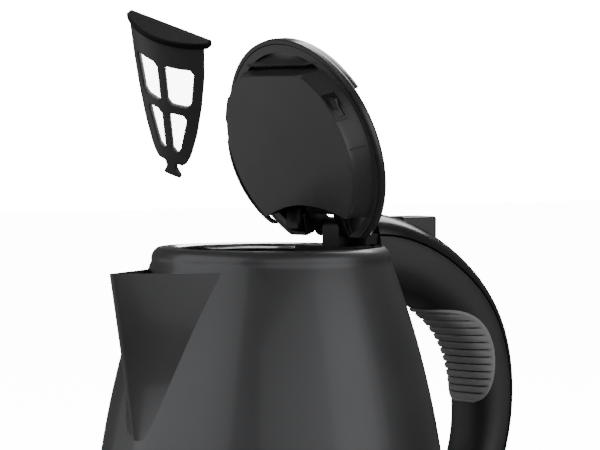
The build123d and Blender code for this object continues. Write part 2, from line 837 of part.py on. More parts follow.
latch_sides = {"latch_bolt_near": -1, "latch_bolt_far": 1}
for bolt_name, side in latch_sides.items():
    with BuildPart() as latch_bolt:
        with BuildSketch(Plane.XY.offset(bolt_bottom)):
            with Locations((bolt_x, side * (bolt_tip - bolt_length / 2))):
                Rectangle(bolt_width, bolt_length)
        extrude(amount=bolt_top - bolt_bottom)
        nose = latch_bolt.faces().sort_by(Axis.Y)[-1 if side > 0 else 0]
        chamfer(nose.edges().sort_by(Axis.Z)[0], 1.6)
        with BuildSketch(Plane.XY.offset(bolt_top)):
            with Locations((bolt_x, side * (bolt_tip - bolt_length + 3.0))):
                Rectangle(bolt_width, 3.0)
        extrude(amount=2.0)
    finish(opened(latch_bolt), bolt_name)

latch_coil_radius = 1.05
guide_half_length = 12.0
with BuildPart() as latch_springs:
    for side in (1, -1):
        with BuildLine():
            coil = Helix(
                pitch=1.9,
                height=bolt_tip - bolt_length - guide_half_length - 0.8,
                radius=latch_coil_radius,
                center=(bolt_x, side * (guide_half_length + 0.4), (bolt_top + bolt_bottom) / 2),
                direction=(0, side, 0),
            )
        with BuildSketch(Plane(origin=coil @ 0, z_dir=coil % 0)):
            Circle(0.25)
        sweep(path=coil)
finish(opened(latch_springs), "latch_springs")

with BuildPart() as latch_guide:
    with BuildSketch(Plane.XY.offset(lid_seat - plug_depth + plug_wall)):
        with Locations((bolt_x, 0)):
            Rectangle(bolt_width + 6, 2 * guide_half_length)
    extrude(amount=6.0)
finish(opened(latch_guide), "latch_guide")

# ================================================================ strainer
window_z = rim_height - 20.0
strainer_lean = 17.0
strainer_curve = 34.0
mesh_thickness = 0.4
frame_thickness = 2.0
strainer_place = Plane(
    origin=(-(inner_radius(window_z) - 2.6), 0, window_z),
    x_dir=(0, -1, 0),
    z_dir=(sin(radians(strainer_lean)), 0, cos(radians(strainer_lean))),
)
lift_axis = Axis((-140.4, -23.4, 243.9), (0.4787, -0.8564, 0.1933))
lift_angle = 53.6
lift_shift = (-44.0, -60.7, -1.6)
top_edge = 12.0
foot_edge = -52.0
frame_half_top = 20.5
frame_half_foot = 7.6
strainer_height = top_edge - foot_edge


def strainer_skin(thickness, depth):
    """An upright curved band, as the strainer is bent, with its face depth behind the front."""
    with BuildPart(mode=Mode.PRIVATE) as band:
        with BuildSketch(strainer_place.offset(foot_edge - 10)):
            with Locations((0, strainer_curve)):
                Circle(strainer_curve - depth)
                Circle(strainer_curve - depth - thickness, mode=Mode.SUBTRACT)
            with Locations((0, strainer_curve + 14)):
                Rectangle(200, 2 * strainer_curve, mode=Mode.SUBTRACT)
        extrude(amount=strainer_height + 30)
    return band.part


front_plane = Plane(origin=strainer_place.origin, x_dir=(0, -1, 0), z_dir=-strainer_place.y_dir)
# each row of windows: top, bottom, half width at the top and at the bottom
window_rows = [(0.0, -20.3, 16.0, 13.0), (-24.5, -46.3, 11.1, 5.4)]
rib_half = 1.6


def side_at(height):
    """Half width of the strainer's frame at a height on its face."""
    share = (height - foot_edge) / strainer_height
    return frame_half_foot + (frame_half_top - frame_half_foot) * share


def windows(margin):
    """The four mesh windows as a flat sketch on the strainer's front, each larger by margin."""
    with BuildSketch(mode=Mode.PRIVATE) as panes:
        for top, bottom, half_top, half_bottom in window_rows:
            for side in (1, -1):
                with BuildLine():
                    Polyline(
                        (side * (rib_half - margin), top + margin),
                        (side * (half_top + margin), top + margin),
                        (side * (half_bottom + margin), bottom - margin),
                        (side * (rib_half - margin), bottom - margin),
                        close=True,
                    )
                make_face()
    return panes.sketch


def lifted(builder):
    """Takes a piece of the strainer from its seat to where it hangs, lifted out."""
    builder.part = builder.part.rotate(lift_axis, lift_angle).moved(Location(lift_shift))
    return builder


tab_root = 3.2
tab_waist = 2.4
tab_end = 4.6
tab_length = 7.5
lip_depth = 10.0
lip_thickness = 3.0
lip_half_width = 21.5
with BuildPart() as strainer_frame:
    with BuildSketch(front_plane):
        with BuildLine():
            Polyline(
                (-side_at(top_edge), top_edge),
                (side_at(top_edge), top_edge),
                (side_at(foot_edge), foot_edge),
                (-side_at(foot_edge), foot_edge),
                close=True,
            )
        make_face()
        fillet(vertices().group_by(Axis.Z)[0], 3.0)
        # the tab that hooks in at the foot
        with BuildLine():
            Polyline(
                (-tab_root, foot_edge + 1),
                (tab_root, foot_edge + 1),
                (tab_waist, foot_edge - 3),
                (tab_end, foot_edge - tab_length),
                (-tab_end, foot_edge - tab_length),
                (-tab_waist, foot_edge - 3),
                close=True,
            )
        make_face()
    extrude(amount=-30)
    add(strainer_skin(frame_thickness, 0), mode=Mode.INTERSECT)
    with BuildSketch(front_plane):
        add(windows(0))
    extrude(amount=-30, mode=Mode.SUBTRACT)
    # finger lip: a D-shaped shelf turned inward along the top
    with BuildSketch(strainer_place.offset(top_edge - 0.5)):
        with Locations((0, strainer_curve)):
            Circle(strainer_curve + 0.8)
        with Locations((0, lip_depth + 100)):
            Rectangle(200, 200, mode=Mode.SUBTRACT)
        Rectangle(2 * lip_half_width, 200, mode=Mode.INTERSECT)
    extrude(amount=lip_thickness)
finish(lifted(strainer_frame), "strainer_frame")

with BuildPart() as strainer_mesh:
    with BuildSketch(front_plane):
        add(windows(-0.05))
    extrude(amount=-30)
    add(strainer_skin(mesh_thickness, 0.8), mode=Mode.INTERSECT)
finish(lifted(strainer_mesh), "strainer_mesh")
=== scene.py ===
import math

import bmesh
import bpy
import numpy as np
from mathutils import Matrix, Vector


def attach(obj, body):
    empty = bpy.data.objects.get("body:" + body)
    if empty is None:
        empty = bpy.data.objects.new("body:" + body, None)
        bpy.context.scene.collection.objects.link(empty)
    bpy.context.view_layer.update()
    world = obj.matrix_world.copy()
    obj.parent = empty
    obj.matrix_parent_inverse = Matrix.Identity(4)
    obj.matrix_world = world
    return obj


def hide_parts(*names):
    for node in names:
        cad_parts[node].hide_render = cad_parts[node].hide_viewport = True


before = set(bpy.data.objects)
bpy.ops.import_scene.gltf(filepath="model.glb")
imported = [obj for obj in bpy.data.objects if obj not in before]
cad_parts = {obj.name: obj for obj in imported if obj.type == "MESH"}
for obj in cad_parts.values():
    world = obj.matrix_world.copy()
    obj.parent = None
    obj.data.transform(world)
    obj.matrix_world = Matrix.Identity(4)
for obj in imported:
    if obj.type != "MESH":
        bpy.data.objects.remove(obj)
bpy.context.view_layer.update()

# ================================================================ jug body
# Drawn steel jug: one arc from the skirt to the neck, then a rolled rim. Lacquered
# outside, bare polished steel from the rim's crest inwards. Made as an outer and an
# inner skin on the same grid, with the pouring window left out behind the spout.

FOOT_RADIUS, FOOT_HEIGHT = 80.5, 30.0
NECK_RADIUS, NECK_HEIGHT = 53.2, 178.0
RIM_HEIGHT, CREST_RADIUS = 184.0, 50.0
LIP_HEIGHT, LIP_RADIUS = 181.0, 47.5
WALL_THICKNESS = 0.8
WALL_ROWS, CREST_ROWS = 74, 10
WALL_RUN, WALL_RISE = FOOT_RADIUS - NECK_RADIUS, NECK_HEIGHT - FOOT_HEIGHT
WALL_ARC = (WALL_RUN**2 + WALL_RISE**2) / (2 * WALL_RUN)


def body_radius(z):
    """Outside radius of the jug: an arc that is upright at the foot height."""
    return FOOT_RADIUS - WALL_ARC + np.sqrt(WALL_ARC**2 - (z - FOOT_HEIGHT) ** 2)


def arc(p, q, s, count):
    """Points on the circle through p, q and s, from p to s, first point included, last left out."""
    (ax, ay), (bx, by), (cx, cy) = p, q, s
    d = 2 * (ax * (by - cy) + bx * (cy - ay) + cx * (ay - by))
    a2, b2, c2 = ax * ax + ay * ay, bx * bx + by * by, cx * cx + cy * cy
    ux = (a2 * (by - cy) + b2 * (cy - ay) + c2 * (ay - by)) / d
    uy = (a2 * (cx - bx) + b2 * (ax - cx) + c2 * (bx - ax)) / d
    t0, t1, t2 = (math.atan2(y - uy, x - ux) for x, y in (p, q, s))
    span = (t2 - t0 + math.pi) % (2 * math.pi) - math.pi
    first = (t1 - t0 + math.pi) % (2 * math.pi) - math.pi
    if first * span < 0:
        span -= math.copysign(2 * math.pi, span)
    t = t0 + span * np.arange(count) / count
    r = math.hypot(ax - ux, ay - uy)
    return np.stack([ux + r * np.cos(t), uy + r * np.sin(t)], -1)


def skins(outer, inner, keep=None, wrap=False):
    """Faces of a solid between two grids of points, rows by columns, of one shape.

    Each kept cell has a face on the outer grid and one on the inner; wherever a kept cell has
    no kept neighbour, a wall joins the two grids. wrap joins the last column to the first.
    """
    rows, cols = outer.shape[:2]
    cells = cols if wrap else cols - 1
    if keep is None:
        keep = np.ones((rows - 1, cells), bool)
    r, c = np.meshgrid(np.arange(rows - 1), np.arange(cells), indexing="ij")
    a, b = r * cols + c, r * cols + (c + 1) % cols
    d, e = a + cols, b + cols
    total = rows * cols
    faces = [np.stack([a, b, e, d], -1)[keep], np.stack([d, e, b, a], -1)[keep] + total]
    pad = np.zeros((rows + 1, cells + 2), bool)
    pad[1:-1, 1:-1] = keep
    if wrap:
        pad[1:-1, 0], pad[1:-1, -1] = keep[:, -1], keep[:, 0]
    for edge, p, q in (
        (keep & ~pad[:-2, 1:-1], a, b),
        (keep & ~pad[2:, 1:-1], e, d),
        (keep & ~pad[1:-1, :-2], d, a),
        (keep & ~pad[1:-1, 2:], b, e),
    ):
        faces.append(np.stack([q, p, p + total, q + total], -1)[edge])
    return np.concatenate([outer.reshape(-1, 3), inner.reshape(-1, 3)]), np.concatenate(faces)


def tube(points, wrap_rows=False, caps=False):
    """Faces over a grid whose columns join round; rows join too, or end in flat caps, if asked."""
    rows, cols = points.shape[:2]
    r, c = np.meshgrid(np.arange(rows if wrap_rows else rows - 1), np.arange(cols), indexing="ij")
    n = (r + 1) % rows
    quads = np.stack([r * cols + c, r * cols + (c + 1) % cols, n * cols + (c + 1) % cols, n * cols + c], -1)
    faces = quads.reshape(-1, 4).tolist()
    if caps:
        faces += [list(range(cols))[::-1], list(range((rows - 1) * cols, rows * cols))]
    return points.reshape(-1, 3), faces


def spun(profile, columns, centre=0.0):
    """The profile, pairs of radius and height, turned round the upright axis through x = centre."""
    t = np.linspace(0, 2 * math.pi, columns, endpoint=False)
    r, z = profile[:, :1], profile[:, 1:]
    return np.stack([centre + r * np.cos(t), r * np.sin(t), z + 0 * t], -1)


def piece(name, points, faces, materials, body, slot, stands_for=(), sharp=38.0, bevel=0.0):
    """A mesh object made from points in millimetres, riding on body.

    It is welded, its normals turned outward, and shaded smooth but for its sharp edges.
    """
    mesh = bpy.data.meshes.new(name)
    faces = faces if isinstance(faces, list) else faces.tolist()
    mesh.from_pydata((points * 0.001).tolist(), [], faces)
    work = bmesh.new()
    work.from_mesh(mesh)
    bmesh.ops.remove_doubles(work, verts=work.verts, dist=2e-6)
    bmesh.ops.dissolve_degenerate(work, edges=work.edges, dist=1e-6)
    bmesh.ops.recalc_face_normals(work, faces=work.faces)
    work.to_mesh(mesh)
    work.free()
    mesh.shade_smooth()
    mesh.set_sharp_from_angle(angle=math.radians(sharp))
    for material in materials:
        mesh.materials.append(material)
    made = bpy.data.objects.new(name, mesh)
    bpy.context.scene.collection.objects.link(made)
    if bevel:
        soft = made.modifiers.new("edges", "BEVEL")
        soft.width, soft.segments, soft.angle_limit = bevel * 0.001, 2, math.radians(40)
    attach(made, body)
    if stands_for:
        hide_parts(*stands_for)
    return made


def noise_group():
    """Node group: broad and fine noise over a point, as a 0 to 1 mask and a 0 to 1 grain."""
    group = bpy.data.node_groups.new("wear and grain", "ShaderNodeTree")
    face = group.interface
    face.new_socket(name="Point", in_out="INPUT", socket_type="NodeSocketVector")
    face.new_socket(name="Grain size", in_out="INPUT", socket_type="NodeSocketFloat")
    face.new_socket(name="Mask", in_out="OUTPUT", socket_type="NodeSocketFloat")
    face.new_socket(name="Grain", in_out="OUTPUT", socket_type="NodeSocketFloat")
    n, link = group.nodes, group.links.new
    start, end = n.new("NodeGroupInput"), n.new("NodeGroupOutput")
    broad, fine, ramp = n.new("ShaderNodeTexNoise"), n.new("ShaderNodeTexNoise"), n.new("ShaderNodeMapRange")
    broad.inputs["Scale"].default_value = 34.0
    broad.inputs["Detail"].default_value = 6.0
    ramp.inputs["From Min"].default_value = 0.35
    ramp.inputs["From Max"].default_value = 0.68
    fine.inputs["Detail"].default_value = 3.0
    link(start.outputs["Point"], broad.inputs["Vector"])
    link(start.outputs["Point"], fine.inputs["Vector"])
    link(start.outputs["Grain size"], fine.inputs["Scale"])
    link(broad.outputs["Fac"], ramp.inputs["Value"])
    link(ramp.outputs["Result"], end.inputs["Mask"])
    link(fine.outputs["Fac"], end.inputs["Grain"])
    return group


WEAR = noise_group()


def surface(name, tones, rough, metal=0.0, grain=1500.0, bump=0.00002, coat=0.0, stretch=(1, 1, 1), spec=0.5):
    """A material: two tones and two roughnesses mixed by the wear mask, and a fine grain as bump."""
    mat = bpy.data.materials.new(name)
    mat.use_nodes = True
    n, link = mat.node_tree.nodes, mat.node_tree.links.new
    shader = n["Principled BSDF"]
    where, turn, wear = n.new("ShaderNodeTexCoord"), n.new("ShaderNodeMapping"), n.new("ShaderNodeGroup")
    wear.node_tree = WEAR
    wear.inputs["Grain size"].default_value = grain
    turn.inputs["Scale"].default_value = stretch
    colour, range_, relief = n.new("ShaderNodeMix"), n.new("ShaderNodeMapRange"), n.new("ShaderNodeBump")
    colour.data_type = "RGBA"
    colour.inputs["A"].default_value = (*tones[0], 1)
    colour.inputs["B"].default_value = (*tones[1], 1)
    range_.inputs["To Min"].default_value, range_.inputs["To Max"].default_value = rough
    relief.inputs["Strength"].default_value = 0.5
    relief.inputs["Distance"].default_value = bump
    link(where.outputs["Object"], turn.inputs["Vector"])
    link(turn.outputs["Vector"], wear.inputs["Point"])
    link(wear.outputs["Mask"], colour.inputs["Factor"])
    link(wear.outputs["Mask"], range_.inputs["Value"])
    link(wear.outputs["Grain"], relief.inputs["Height"])
    link(colour.outputs["Result"], shader.inputs["Base Color"])
    link(range_.outputs["Result"], shader.inputs["Roughness"])
    link(relief.outputs["Normal"], shader.inputs["Normal"])
    shader.inputs["Metallic"].default_value = metal
    shader.inputs["Coat Weight"].default_value = coat
    shader.inputs["Coat Roughness"].default_value = 0.12
    shader.inputs["Specular IOR Level"].default_value = spec
    return mat


LACQUER = surface(
    "gunmetal lacquer", ((0.060, 0.061, 0.064), (0.066, 0.067, 0.070)), (0.40, 0.46), metal=0.6,
    coat=0.25,
)
STEEL = surface(
    "polished steel", ((0.60, 0.60, 0.60), (0.66, 0.66, 0.65)), (0.12, 0.2), metal=1.0, grain=700.0,
    stretch=(1, 1, 18),
)

wall_heights = np.linspace(FOOT_HEIGHT, NECK_HEIGHT, WALL_ROWS + 1)[:-1]
body_profile = np.concatenate([
    np.stack([body_radius(wall_heights), wall_heights], -1),
    arc((NECK_RADIUS, NECK_HEIGHT), (52.2, 182.2), (CREST_RADIUS, RIM_HEIGHT), CREST_ROWS),
    arc((CREST_RADIUS, RIM_HEIGHT), (48.0, 183.0), (LIP_RADIUS, LIP_HEIGHT), 8),
    [(LIP_RADIUS, LIP_HEIGHT)],
])
body_heights = body_profile[:, 1]
straight_inside = np.where(body_heights <= 180, body_profile[:, 0] - WALL_THICKNESS, 0)
body_inside = np.stack([straight_inside, np.minimum(body_heights, 183.2)], -1)
crest_row = WALL_ROWS + CREST_ROWS
body_inside[WALL_ROWS + 1 : crest_row] = arc((52.3, 178.5), (51.3, 181.6), (49.9, 183.1), CREST_ROWS - 1)
body_inside[crest_row:] = arc((49.9, 183.1), (48.9, 182.5), (48.3, 181.0), 9)

WINDOW_FOOT, WINDOW_TOP = 120.0, 170.8
WINDOW_FOOT_HALF, WINDOW_SPREAD = 4.0, 13.0
WINDOW_CORNER = 2.5
WINDOW_COLUMNS = 10
window_row = (body_heights > WINDOW_FOOT) & (body_heights < WINDOW_TOP)
window_row[WALL_ROWS + 2 :] = False
window_low, window_high = body_heights[window_row].min(), body_heights[window_row].max()
window_height = np.clip(body_heights, window_low, window_high)


def corner(gap):
    """How far the window's side is drawn in at gap from its end, for a rounded corner."""
    inward = np.clip(WINDOW_CORNER - gap, 0, WINDOW_CORNER)
    return WINDOW_CORNER - np.sqrt(np.clip(WINDOW_CORNER**2 - inward**2, 0, None))


window_half = WINDOW_FOOT_HALF + WINDOW_SPREAD * (window_height - window_low) / (window_high - window_low)
window_half = window_half - corner(window_height - window_low) - corner(window_high - window_height)
window_turn = np.arcsin(np.clip(window_half, 1.0, None) / body_radius(window_height))[:, None]
COLUMNS = 240
span = (np.arange(COLUMNS) - COLUMNS // 2) * 2 * math.pi / COLUMNS
edge_turn = WINDOW_COLUMNS * 2 * math.pi / COLUMNS
turned = np.where(
    np.abs(span) <= edge_turn,
    span * window_turn / edge_turn,
    np.sign(span)
    * (window_turn + (np.abs(span) - edge_turn) * (math.pi - window_turn) / (math.pi - edge_turn)),
) + math.pi
body_outer, body_inner = (
    np.stack([p[:, :1] * np.cos(turned), p[:, :1] * np.sin(turned), p[:, 1:] + 0 * turned], -1)
    for p in (body_profile, body_inside)
)
keep = np.ones((len(body_profile) - 1, COLUMNS), bool)
open_rows = window_row[:-1] & window_row[1:]
middle = np.arange(COLUMNS) - COLUMNS // 2
keep[np.ix_(open_rows, (middle >= -WINDOW_COLUMNS) & (middle < WINDOW_COLUMNS))] = False
jug_body = piece(
    "jug_body", *skins(body_outer, body_inner, keep, True), [LACQUER, STEEL], "jug", "body_lacquer",
    ["jug_shell"],
)
place = np.empty(len(jug_body.data.polygons) * 3)
jug_body.data.polygons.foreach_get("center", place)
place = place.reshape(-1, 3) * 1000
radial = np.hypot(place[:, 0], place[:, 1])
within_wall = radial < body_radius(np.clip(place[:, 2], 0, NECK_HEIGHT)) - WALL_THICKNESS / 2
bare = within_wall & ((place[:, 2] < NECK_HEIGHT) | (radial < 50.2))
jug_body.data.polygons.foreach_set("material_index", bare.astype(np.int32))

# ================================================================ spout
# Folded sheet spout welded to the jug, lacquered with it: a blunt triangle in plan that
# tapers down to a point. Made as an outer and an inner skin that end in the jug's wall.

SPOUT_TOP, SPOUT_FOOT = 174.4, 102.4
SPOUT_REACH, NOSE_RADIUS = 89.1, 2.5
SPOUT_FOOT_HALF, SPOUT_SPREAD, SPOUT_BELLY = 4.0, 22.5, 0.62
spout_t = np.linspace(0, 1, 60)[:, None]
spout_z = SPOUT_FOOT + (SPOUT_TOP - SPOUT_FOOT) * spout_t
nose_foot = body_radius(SPOUT_FOOT) + 0.6


def spout_skin(inset):
    """Rows of the spout's level sections, drawn in by inset.

    Each goes along one side, round the nose and along the other side, ending in the jug's wall.
    """
    tip = nose_foot + (SPOUT_REACH - nose_foot) * spout_t - 2 * inset
    half = SPOUT_FOOT_HALF + SPOUT_SPREAD * spout_t**SPOUT_BELLY - inset
    root = np.sqrt(body_radius(spout_z) ** 2 - half**2) - 4 * inset
    nose = NOSE_RADIUS - inset
    lean = np.arctan2(half, tip - root)
    centre = tip - nose / np.sin(lean)
    turn = np.linspace(-1, 1, 15)[None, :] * (math.pi / 2 - lean)
    nose_x, nose_y = centre + nose * np.cos(turn), nose * np.sin(turn)
    end_x, end_y = nose_x[:, -1:], nose_y[:, -1:]
    dx, dy = root - end_x, half - end_y
    radius = body_radius(spout_z) - 0.3
    a, b, c = dx**2 + dy**2, 2 * (end_x * dx + end_y * dy), end_x**2 + end_y**2 - radius**2
    reach = (-b - np.sqrt(np.clip(b * b - 4 * a * c, 0, None))) / (2 * a)
    run = np.linspace(1, 0, 34)[None, :-1] * reach
    side_x, side_y = end_x + dx * run, end_y + dy * run
    x = np.concatenate([side_x, nose_x[:, ::-1], side_x[:, ::-1]], 1)
    y = np.concatenate([side_y, nose_y[:, ::-1], -side_y[:, ::-1]], 1)
    return np.stack([-x, y, spout_z + 0 * x], -1)


spout_outer, spout_inner = spout_skin(0.0), spout_skin(WALL_THICKNESS)
piece("spout_skin", *skins(spout_outer, spout_inner), [LACQUER], "jug", "body_lacquer", ["spout"], bevel=0.25)

# ================================================================ skirt and power base
# Black moulded plastic: the jug's skirt, and the round base's cover with a softened edge.

MATTE = surface(
    "black matte plastic", ((0.020, 0.020, 0.021), (0.026, 0.026, 0.027)), (0.42, 0.55), grain=2600.0,
    bump=0.00004,
)
GLOSS = surface(
    "black gloss plastic", ((0.012, 0.012, 0.013), (0.015, 0.015, 0.016)), (0.16, 0.24), grain=900.0,
    bump=0.00001,
)
skirt_profile = np.concatenate([
    [(77.0, 20.4), (79.0, 20.4)],
    arc((79.0, 20.4), (80.1, 20.9), (80.5, 21.9), 5),
    [(80.5, 21.9), (80.5, 29.6), (80.2, 30.0)],
    [(79.5, 30.0), (79.5, 36.0), (77.0, 36.0)],
])
piece("skirt", *tube(spun(skirt_profile, 192), True), [MATTE], "jug", "black_matte", ["jug_skirt"])
base_profile = np.concatenate([
    [(77.8, 1.0), (79.6, 1.0), (80.0, 1.5), (80.0, 7.0), (79.5, 7.3), (79.5, 7.8), (80.0, 8.1)],
    arc((80.0, 16.0), (78.83, 18.83), (76.0, 20.0), 8),
    [(76.0, 20.0), (16.6, 20.0), (16.2, 19.6), (16.2, 17.8), (77.8, 17.8)],
])
piece("base_top", *tube(spun(base_profile, 192), True), [GLOSS], "base", "black_gloss", ["base_cover"])

# ================================================================ handle
# Hollow black handle: a matte shell on the inner side and a glossy cover strip outside,
# snapped together along a fine seam. Rounded sections follow a smooth centre line from the
# rim to the jug's foot; both ends are drawn in to the jug's wall.

path_points = np.array(
    [(50, 180), (89, 169.5), (117, 144.5), (126, 108), (118, 74), (95.5, 50), (74.5, 44)], float,
)
half_sizes = np.array(
    [(18.5, 17), (16, 17), (13.2, 16.5), (11, 15.5), (10, 14.5), (11.5, 14.5), (13, 15)], float,
)


def spline(values, start_slope=None, end_slope=None):
    """A smooth curve through values, spaced by chord length: cubic spans that bend evenly over the joins."""
    k = np.concatenate([[0], np.cumsum(np.hypot(*np.diff(path_points, axis=0).T))])
    h = np.diff(k)
    v = np.asarray(values, float)
    count = len(k)
    m, rhs = np.zeros((count, count)), np.zeros((count,) + v.shape[1:])
    rise = np.diff(v, axis=0) / h.reshape((-1,) + (1,) * (v.ndim - 1))
    m[np.arange(1, count - 1), np.arange(0, count - 2)] = h[1:]
    m[np.arange(1, count - 1), np.arange(1, count - 1)] = 2 * (h[:-1] + h[1:])
    m[np.arange(1, count - 1), np.arange(2, count)] = h[:-1]
    hs = h.reshape((-1,) + (1,) * (v.ndim - 1))
    rhs[1:-1] = 3 * (hs[1:] * rise[:-1] + hs[:-1] * rise[1:])
    m[0, 0] = m[-1, -1] = 1
    rhs[0] = rise[0] if start_slope is None else start_slope
    rhs[-1] = rise[-1] if end_slope is None else end_slope
    slope = np.linalg.solve(m, rhs)

    def at(t):
        """The curve at shares t, from 0 to 1, of the chord length, and its slope there."""
        s = np.clip(np.asarray(t, float), 0, 1) * k[-1]
        i = np.clip(np.searchsorted(k, s, side="right") - 1, 0, count - 2)
        u = ((s - k[i]) / h[i]).reshape((-1,) + (1,) * (v.ndim - 1))
        w = h[i].reshape((-1,) + (1,) * (v.ndim - 1))
        a, b, c, d = v[i], v[i + 1], slope[i] * w, slope[i + 1] * w
        value = (
            (2 * u**3 - 3 * u**2 + 1) * a + (u**3 - 2 * u**2 + u) * c
            + (3 * u**2 - 2 * u**3) * b + (u**3 - u**2) * d
        )
        grow = (
            (6 * u**2 - 6 * u) * a + (3 * u**2 - 4 * u + 1) * c
            + (6 * u - 6 * u**2) * b + (3 * u**2 - 2 * u) * d
        ) / w
        return value, grow

    return at


centre_line = spline(path_points, np.array([1.0, 0.02]), np.array([-0.97, -0.24]))
halves = spline(half_sizes)


def handle_points(t, across, out, proud=0.0):
    """Points of the handle at shares t of its length: across and out are a section's y and outward
    coordinates as shares of its half width and half depth; proud lifts them off the surface."""
    (place, ahead), (half, _) = centre_line(t), halves(t)
    ahead = ahead / np.linalg.norm(ahead, axis=1)[:, None]
    outward = np.stack([-ahead[:, 1], ahead[:, 0]], -1)
    d = (half[:, :1] + proud) * out
    x = place[:, :1] + outward[:, :1] * d
    z = place[:, 1:] + outward[:, 1:] * d
    y = (half[:, 1:] + proud) * across + 0 * x
    r = np.hypot(x, y)
    wall = body_radius(np.clip(z, 20, NECK_HEIGHT)) - 0.35
    grow = np.where((r < wall) & (z < 182), wall / np.maximum(r, 1), 1.0)
    return np.stack([x * grow, y * grow, z], -1)


def section(angle, power=2.7):
    """A rounded rectangle as a superellipse: shares of half width and half depth at each angle."""
    c, s = np.cos(angle), np.sin(angle)
    return np.sign(c) * np.abs(c) ** (2 / power), np.sign(s) * np.abs(s) ** (2 / power)


SEAM, SECTION_POWER = 0.45, 2.7
SEAM_NEAR, SEAM_FAR = 0.012, 0.03
seam_angle = math.asin(SEAM ** (SECTION_POWER / 2))
handle_t = np.linspace(0, 1, 150)


def handle_part(first, last, count, way):
    """Points of the handle between two angles of its section, closed inside.

    Its edges are drawn in at the seam, and it lies to the side of the seam that way gives.
    """
    across, out = section(np.linspace(first, last, count))
    eased, edge = 1 - np.array([0.045, 0.012]), SEAM + way * np.array([SEAM_NEAR, SEAM_FAR])
    across = np.concatenate([across[0] * eased, across[2:-2], across[-1] * eased[::-1], [0.0]])
    out = np.concatenate([edge, out[2:-2], edge[::-1], edge[:1]])
    return handle_points(handle_t, across, out)


piece(
    "handle_strip", *tube(handle_part(seam_angle, math.pi - seam_angle, 41, 1), caps=True), [GLOSS],
    "jug", "black_gloss", ["handle_cover"],
)
piece(
    "handle_inner", *tube(handle_part(math.pi - seam_angle, 2 * math.pi + seam_angle, 71, -1), caps=True),
    [MATTE], "jug", "black_matte", ["handle_shell"],
)

# ================================================================ grip
# Soft grey rubber let into the handle's inner side where the fingers close: it wraps from
# side to side, its outline part of an ellipse seen from the side, and carries level ribs.

RUBBER = surface(
    "soft grey rubber", ((0.27, 0.27, 0.275), (0.32, 0.32, 0.325)), (0.55, 0.7), grain=3000.0,
    bump=0.00005,
)
GRIP_CENTRE, GRIP_RADII, GRIP_POWER = np.array([91.5, 125.5]), np.array([29.0, 27.5]), 2.25
GROOVE_PITCH, GROOVE_DEPTH, GROOVE_LEVEL = 3.45, 1.1, 150.6
probe_t = np.linspace(0.15, 0.75, 800)
probe_angle = np.linspace(-math.pi / 2, 0.30, 240)
probe = handle_points(probe_t, *section(probe_angle))
off_centre = (probe[..., [0, 2]] - GRIP_CENTRE) / GRIP_RADII
inside = (np.abs(off_centre) ** GRIP_POWER).sum(-1) < 1
covered = inside[:, 0]
grip_limits = probe_t[covered][[0, -1]]
last = probe_angle[np.argmax(~inside, axis=1)] * covered + (-math.pi / 2) * ~covered
grip_t = np.linspace(*grip_limits, 260)
limit = np.interp(grip_t, probe_t, last)
sweep_share = np.linspace(-1, 1, 91)
angle = -math.pi / 2 + sweep_share[None, :] * (limit[:, None] + math.pi / 2)
(grip_middle, grip_ahead), (grip_half, _) = centre_line(grip_t), halves(grip_t)
grip_ahead = grip_ahead / np.linalg.norm(grip_ahead, axis=1)[:, None]
length = np.concatenate([[0], np.cumsum(np.hypot(*np.diff(grip_middle, axis=0).T))])
from_edge = (1 - np.abs(sweep_share))[None, :] * (limit[:, None] + math.pi / 2) * 13.0
from_end = np.minimum(length, length[-1] - length)[:, None]
rise = np.clip(np.minimum(from_edge, from_end * 1.4) / 1.1, 0, 1)
rise = rise * rise * (3 - 2 * rise)
fade = np.clip((np.minimum(from_edge, from_end * 1.4) - 2.2) / 1.6, 0, 1)
grip_across, grip_out = section(angle)


def grip_skin(raise_by):
    """The handle's own surface over the grip's area, lifted off by raise_by millimetres."""
    d, w = (grip_half[:, :1] + raise_by) * grip_out, (grip_half[:, 1:] + raise_by) * grip_across
    x, z = grip_middle[:, :1] - grip_ahead[:, 1:] * d, grip_middle[:, 1:] + grip_ahead[:, :1] * d
    return np.stack([x, w, z], -1)


level = grip_skin(0.5)[..., 2]
groove = np.clip((np.cos(2 * math.pi * (level - GROOVE_LEVEL) / GROOVE_PITCH) - 0.35) / 0.65, 0, 1)
lift = rise * 1.25 - 0.35 - GROOVE_DEPTH * groove * fade
piece(
    "grip_pad", *skins(grip_skin(lift), grip_skin(lift * 0 - 1.2)), [RUBBER], "jug", "soft_grip",
    ["handle_grip"], sharp=50,
)

# ================================================================ lid
# Black domed lid with a raised front crown, made as if shut and then swung to its open stop.

HINGE = np.array([38.5, 0.0, 192.0])
LID_X, SEAT, LID_RADIUS = -2.0, 184.8, 50.6
LID_BACK, NOTCH_HALF, NOTCH_FRONT = 40.6, 13.5, 29.5
OPEN = math.radians(71.0)


def opened(points):
    """Points of the shut lid swung open about the hinge pin."""
    p = points - HINGE
    x = p[..., 0] * math.cos(OPEN) + p[..., 2] * math.sin(OPEN)
    z = -p[..., 0] * math.sin(OPEN) + p[..., 2] * math.cos(OPEN)
    return np.stack([x, p[..., 1], z], -1) + HINGE


def trimmed(points):
    """Points behind the lid's straight back edge, or in its hinge notch, drawn forward to the edge."""
    y = np.abs(points[..., 1])
    limit = NOTCH_FRONT + (LID_BACK - NOTCH_FRONT) * np.clip((y - NOTCH_HALF) / 0.8, 0, 1)
    points = points.copy()
    points[..., 0] = np.minimum(points[..., 0], limit)
    return points


DOME_RISE = 11.0 - 3.2
SPHERE = (LID_RADIUS**2 + DOME_RISE**2) / (2 * DOME_RISE)


def dome(r, lift=0.0):
    """Height of the dome over the lid's axis distance r."""
    return SEAT + 11.0 + lift - SPHERE + np.sqrt(SPHERE**2 - r**2)


